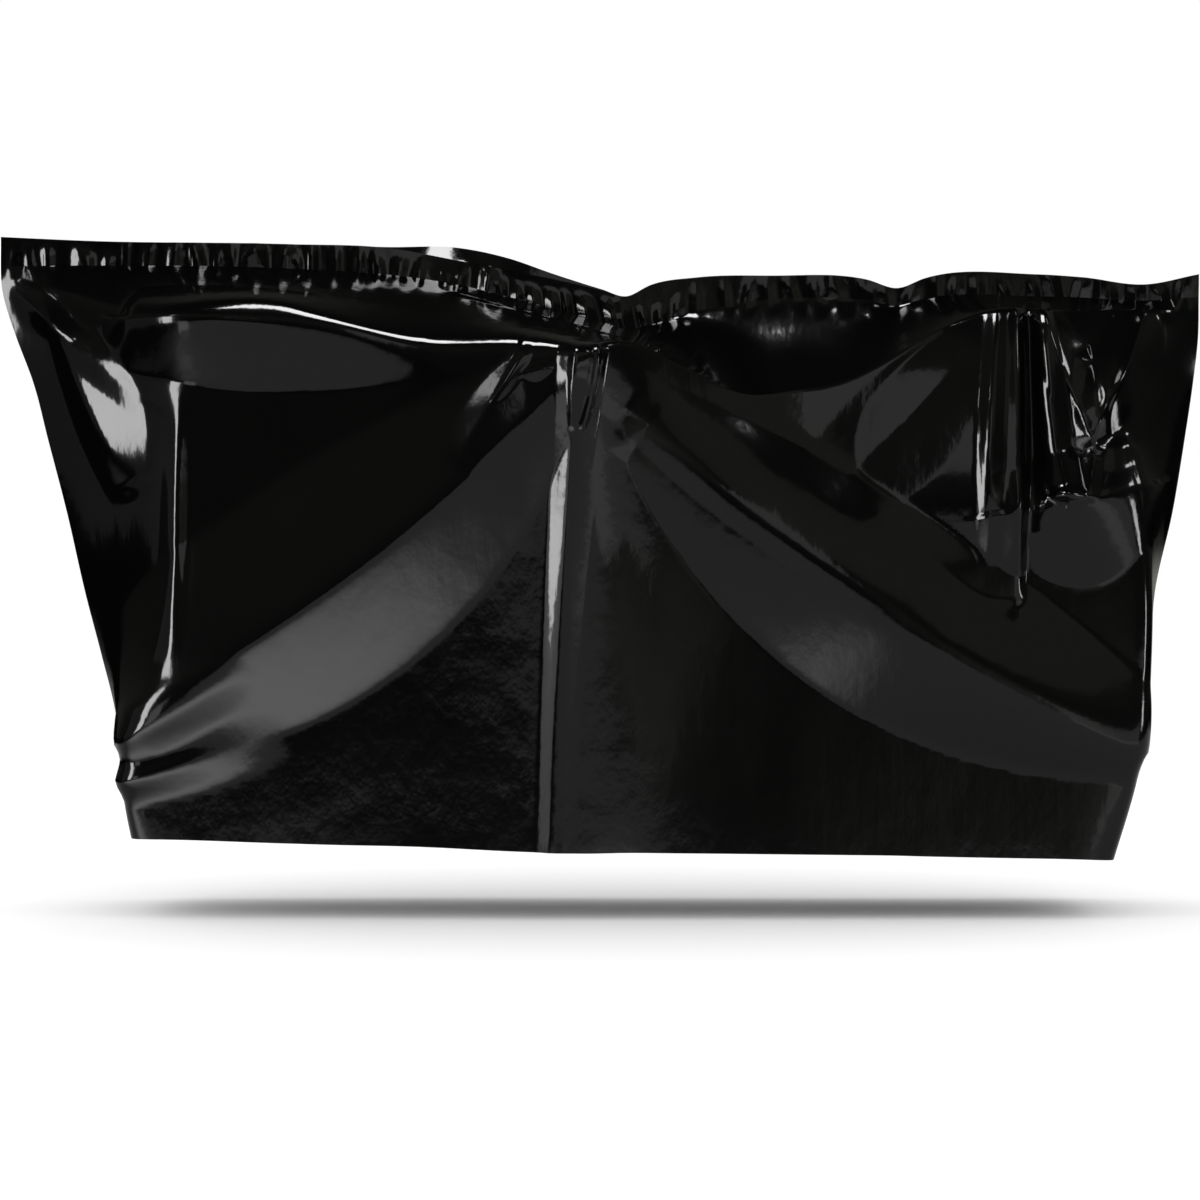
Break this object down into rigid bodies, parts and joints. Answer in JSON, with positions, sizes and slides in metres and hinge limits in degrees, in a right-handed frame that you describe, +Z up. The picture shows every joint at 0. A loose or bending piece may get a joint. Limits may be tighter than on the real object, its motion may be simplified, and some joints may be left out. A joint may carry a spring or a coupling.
{
  "type": "bicycle cover",
  "caption": "Fitted bicycle cover: a gloss black film bag, welded along the top, open at the foot and hanging in folds over a hollow.",
  "frame": {"origin": "under the middle of the cover, level with the lowest point of the hem", "axes": "+X along the cover towards the end over the rear wheel, -Y out of the front panel, +Z up to the welded top"},
  "size_m": [2.0706, 0.5293, 1.063],
  "materials": {
    "front_film": "gloss",
    "back_film": "gloss"
  },
  "bodies": {
    "root": {"front_panel": "front_film", "back_panel": "back_film"}
  },
  "joints": []
}
